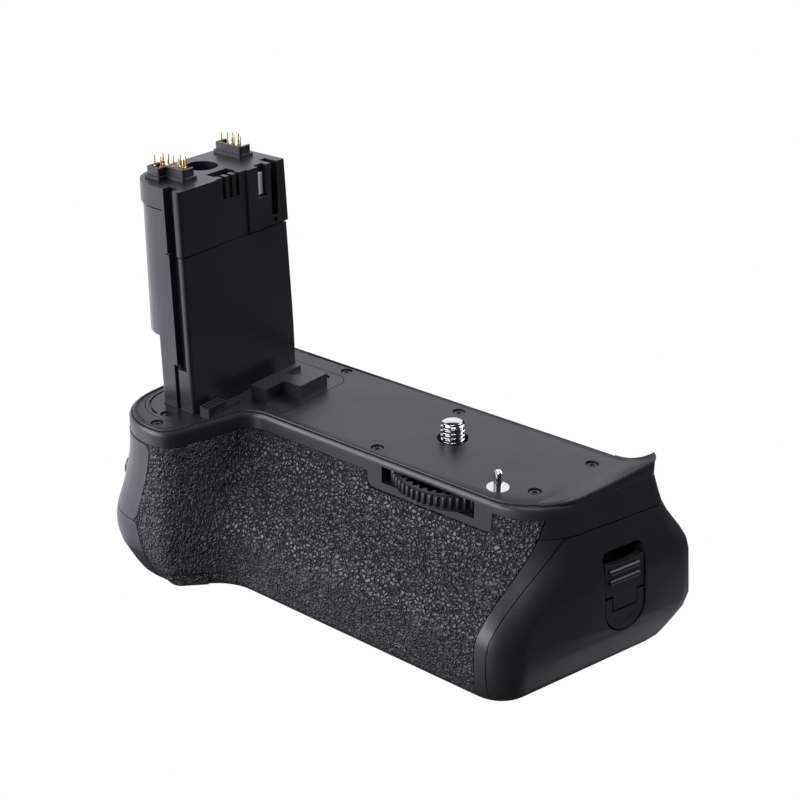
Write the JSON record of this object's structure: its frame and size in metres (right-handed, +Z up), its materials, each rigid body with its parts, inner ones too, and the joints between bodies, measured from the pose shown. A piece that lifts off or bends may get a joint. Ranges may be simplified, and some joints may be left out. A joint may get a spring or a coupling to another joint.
{
  "type": "camera battery grip",
  "caption": "Vertical battery grip for a camera: L-shaped rubber-clad body, battery-shaped tower with contact pins, thumbwheel-driven screw and a slide-out battery magazine.",
  "frame": {"origin": "axis of the camera attachment screw at the plane of the camera plate", "axes": "+X along the grip away from the battery tower, +Y to the back, +Z up into the camera"},
  "size_m": [0.1446, 0.0761, 0.1133],
  "materials": {
    "shell_plastic": "fine satin grain",
    "trim_plastic": "satin",
    "tower_plastic": "smooth satin",
    "grip_rubber": "pebbled",
    "bright_metal": "bright",
    "contact_gold": "gold plated",
    "contact_silver": "plated",
    "black_screws": "black oxide",
    "gear_brass": "machined",
    "inner_plastic": "plain",
    "circuit_board": "lacquered",
    "flat_cable": "film"
  },
  "bodies": {
    "grip_body": {"top_cover": "shell_plastic", "body_shell": "shell_plastic", "rubber_grip": "grip_rubber", "rear_thumb_pad": "grip_rubber", "control_panel": "shell_plastic", "tower_base_plate": "trim_plastic", "tower_column": "tower_plastic", "tower_head": "tower_plastic", "connector_front": "trim_plastic", "connector_rear": "trim_plastic", "contact_pins_front": "contact_gold", "contact_pins_rear": "contact_gold", "battery_terminals": "contact_gold", "side_contact": "contact_silver", "cover_screws": "black_screws", "tower_screws": "black_screws", "alignment_pin": "bright_metal", "gear_cradle": "inner_plastic", "main_board": "circuit_board", "ribbon_cable": "flat_cable", "well_contacts": "contact_gold", "tripod_socket": "contact_silver", "bottom_screws": "black_screws", "shutter_switch": "circuit_board", "dial_shaft": "bright_metal", "rear_button_board": "circuit_board"},
    "thumbwheel": {"thumbwheel": "trim_plastic"},
    "attachment_screw": {"attachment_screw": "bright_metal", "screw_pinion": "gear_brass"},
    "magazine": {"magazine_cap": "shell_plastic", "magazine_tray": "inner_plastic", "tray_contacts": "contact_gold", "release_knob": "trim_plastic", "tab_hinge_pin": "bright_metal", "latch_cam": "contact_silver", "magazine_screws": "black_screws"},
    "release_tab": {"release_tab": "trim_plastic"},
    "shutter_button": {"shutter_button": "trim_plastic"},
    "main_dial": {"main_dial": "trim_plastic"},
    "power_switch": {"power_switch": "trim_plastic"},
    "af_start_button": {"af_start_button": "trim_plastic"},
    "ae_lock_button": {"ae_lock_button": "trim_plastic"},
    "focus_point_button": {"focus_point_button": "trim_plastic"}
  },
  "joints": [
    {"name": "thumbwheel_spin", "type": "hinge", "parent": "grip_body", "child": "thumbwheel", "pos_m": [0.0074, -0.00745, -0.004], "axis": [0, 0, 1], "continuous": true},
    {"name": "screw_spin", "type": "hinge", "parent": "grip_body", "child": "attachment_screw", "pos_m": [0, 0, 0], "axis": [0, 0, 1], "continuous": true},
    {"name": "magazine_slide", "type": "slide", "parent": "grip_body", "child": "magazine", "axis": [1, 0, 0], "range_m": [0, 0.118]},
    {"name": "release_tab_flip", "type": "hinge", "parent": "magazine", "child": "release_tab", "pos_m": [0.0511, 0.00086, -0.02726], "axis": [0.309, 0.9511, 0], "range_deg": [0, 90]},
    {"name": "shutter_press", "type": "slide", "parent": "grip_body", "child": "shutter_button", "axis": [1, 0, 0], "range_m": [0, 0.0012], "stiffness_N_per_m": 400},
    {"name": "main_dial_spin", "type": "hinge", "parent": "grip_body", "child": "main_dial", "pos_m": [-0.07894, -0.027, -0.021], "axis": [0, 1, 0], "continuous": true},
    {"name": "power_switch_slide", "type": "slide", "parent": "grip_body", "child": "power_switch", "axis": [0, 1, 0], "range_m": [0, 0.003]},
    {"name": "af_start_press", "type": "slide", "parent": "grip_body", "child": "af_start_button", "axis": [0, -1, 0], "range_m": [0, 0.0006], "stiffness_N_per_m": 400},
    {"name": "ae_lock_press", "type": "slide", "parent": "grip_body", "child": "ae_lock_button", "axis": [0, -1, 0], "range_m": [0, 0.0006], "stiffness_N_per_m": 400},
    {"name": "focus_point_press", "type": "slide", "parent": "grip_body", "child": "focus_point_button", "axis": [0, -1, 0], "range_m": [0, 0.0006], "stiffness_N_per_m": 400}
  ],
  "couplings": [
    {"joint": "screw_spin", "follows": "thumbwheel_spin", "ratio": 3.3333}
  ]
}
